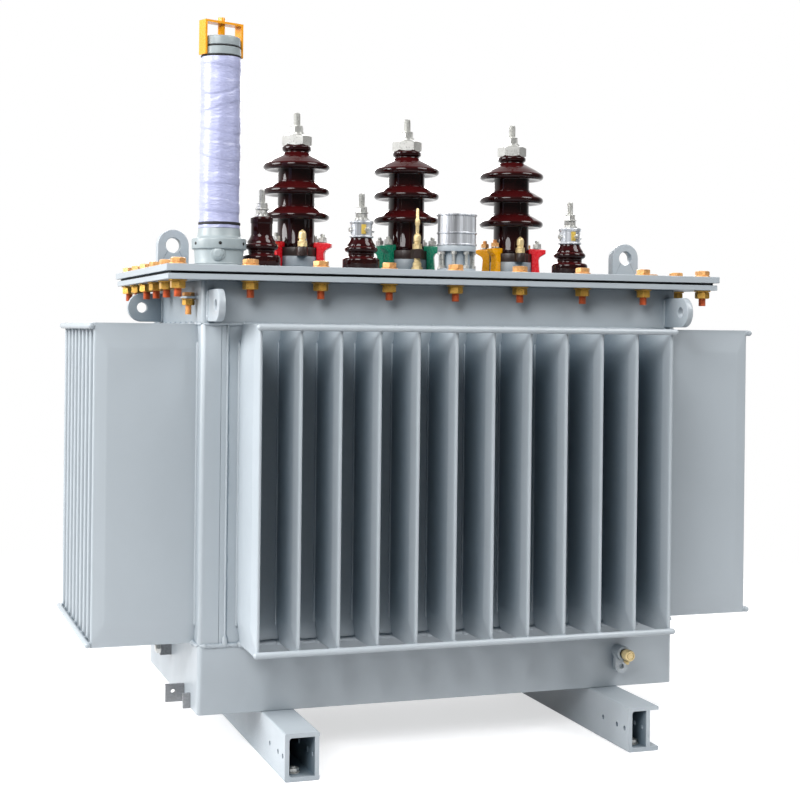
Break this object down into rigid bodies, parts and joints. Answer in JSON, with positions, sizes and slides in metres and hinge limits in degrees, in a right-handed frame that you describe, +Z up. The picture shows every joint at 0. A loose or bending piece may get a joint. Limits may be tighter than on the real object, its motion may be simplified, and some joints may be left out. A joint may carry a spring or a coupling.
{
  "type": "oil-immersed distribution transformer",
  "caption": "Oil-immersed power transformer: finned tank on channel rails, bolted cover with shed porcelain bushings, relief valve, oil gauge column and lifting lugs.",
  "frame": {"origin": "on the ground, at the centre of the base between the two rails", "axes": "+Z up, +X along the row of high voltage bushings, -Y towards the low voltage side with the drain valve"},
  "size_m": [1.298, 0.786, 1.308],
  "materials": {
    "tank_paint": "satin light blue-grey paint",
    "gasket_rubber": "black rubber",
    "porcelain": "dark maroon glazed porcelain",
    "brown_casting": "dark brown painted casting",
    "plated_steel": "bright zinc plating",
    "bright_steel": "polished steel",
    "brass": "turned brass",
    "red_paint": "gloss red paint",
    "green_paint": "gloss green paint",
    "yellow_paint": "gloss yellow paint",
    "gauge_casting": "pale grey-green paint",
    "gauge_tube": "milky translucent tube under a plastic film"
  },
  "bodies": {
    "root": {"left_rail": "tank_paint", "right_rail": "tank_paint", "rail_plates": "tank_paint", "tank_floor": "tank_paint", "lower_band": "tank_paint", "corner_posts": "tank_paint", "front_wall": "tank_paint", "rear_wall": "tank_paint", "left_wall": "tank_paint", "right_wall": "tank_paint", "upper_band": "tank_paint", "tank_flange": "tank_paint", "cover_gasket": "gasket_rubber", "cover_plate": "tank_paint", "front_fins": "tank_paint", "rear_fins": "tank_paint", "left_fins": "tank_paint", "right_fins": "tank_paint", "fin_rods": "tank_paint", "left_cover_lug": "tank_paint", "right_cover_lug": "tank_paint", "tank_lugs": "tank_paint", "side_lugs": "tank_paint", "hv_bosses": "tank_paint", "hv_rings": "brown_casting", "hv_bushing_left": "porcelain", "hv_bushing_middle": "porcelain", "hv_bushing_right": "porcelain", "hv_terminals": "plated_steel", "red_clamps": "red_paint", "green_clamps": "green_paint", "yellow_clamps": "yellow_paint", "vent_plugs": "brass", "lv_bushing_left": "porcelain", "lv_bushing_middle": "porcelain", "lv_bushing_right": "porcelain", "lv_terminals": "plated_steel", "lv_caps": "plated_steel", "relief_pedestal": "tank_paint", "relief_valve": "bright_steel", "gauge_base": "gauge_casting", "gauge_tube": "gauge_tube", "gauge_cap": "gauge_casting", "gauge_bracket": "yellow_paint", "drain_socket": "tank_paint", "drain_knob": "brass", "small_brackets": "tank_paint"}
  },
  "joints": []
}
